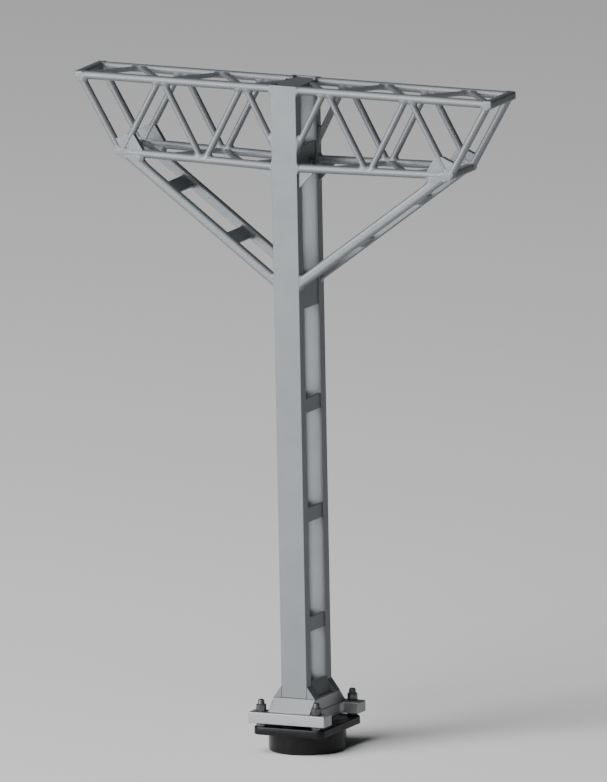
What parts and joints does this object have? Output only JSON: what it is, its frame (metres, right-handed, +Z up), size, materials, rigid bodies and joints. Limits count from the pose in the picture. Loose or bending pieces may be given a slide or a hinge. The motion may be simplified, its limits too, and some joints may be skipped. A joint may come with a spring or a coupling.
{
  "type": "model railway lattice mast",
  "caption": "Steel-grey model railway mast of two laced channels on a bolted base plate and plug foot, carrying a braced truss arm on both sides.",
  "frame": {"origin": "middle of the underside of the foot's flange, which rests on the board; the plug is below it", "axes": "+Z up the mast, +X along the arm, -Y to the front"},
  "size_m": [0.072, 0.015, 0.1059],
  "materials": {
    "mast_paint": "satin cool grey paint",
    "base_paint": "satin light grey, slightly metallic",
    "fastener_steel": "satin dark grey, slightly worn",
    "foot_plastic": "black moulded plastic, satin gloss"
  },
  "bodies": {
    "root": {"anchor_nuts": "fastener_steel", "anchor_studs": "fastener_steel", "base_collar": "base_paint", "base_plate": "base_paint", "bottom_chord_front_left": "mast_paint", "bottom_chord_front_right": "mast_paint", "bottom_chord_rear_left": "mast_paint", "bottom_chord_rear_right": "mast_paint", "bottom_end_bar_left": "mast_paint", "bottom_end_bar_right": "mast_paint", "bottom_lacing_left": "mast_paint", "bottom_lacing_right": "mast_paint", "brace_seat_left": "mast_paint", "brace_seat_right": "mast_paint", "diagonals_front_left": "mast_paint", "diagonals_front_right": "mast_paint", "diagonals_rear_left": "mast_paint", "diagonals_rear_right": "mast_paint", "end_gusset_front_left": "mast_paint", "end_gusset_front_right": "mast_paint", "end_gusset_rear_left": "mast_paint", "end_gusset_rear_right": "mast_paint", "end_raker_front_left": "mast_paint", "end_raker_front_right": "mast_paint", "end_raker_rear_left": "mast_paint", "end_raker_rear_right": "mast_paint", "foot": "foot_plastic", "foot_bracket_left": "mast_paint", "foot_bracket_right": "mast_paint", "front_channel": "mast_paint", "girder_seat_left": "mast_paint", "girder_seat_right": "mast_paint", "inner_brace_batten_left": "mast_paint", "inner_brace_batten_right": "mast_paint", "knee_brace_front_left": "mast_paint", "knee_brace_front_right": "mast_paint", "knee_brace_rear_left": "mast_paint", "knee_brace_rear_right": "mast_paint", "levelling_nuts": "fastener_steel", "lower_batten_left": "mast_paint", "lower_batten_right": "mast_paint", "mast_cap": "mast_paint", "mast_gussets_left": "mast_paint", "mast_gussets_right": "mast_paint", "middle_batten_left": "mast_paint", "middle_batten_right": "mast_paint", "outer_brace_batten_left": "mast_paint", "outer_brace_batten_right": "mast_paint", "rear_channel": "mast_paint", "top_chord_front_left": "mast_paint", "top_chord_front_right": "mast_paint", "top_chord_rear_left": "mast_paint", "top_chord_rear_right": "mast_paint", "top_end_bar_left": "mast_paint", "top_end_bar_right": "mast_paint", "top_lacing_left": "mast_paint", "top_lacing_right": "mast_paint", "upper_batten_left": "mast_paint", "upper_batten_right": "mast_paint"}
  },
  "joints": []
}
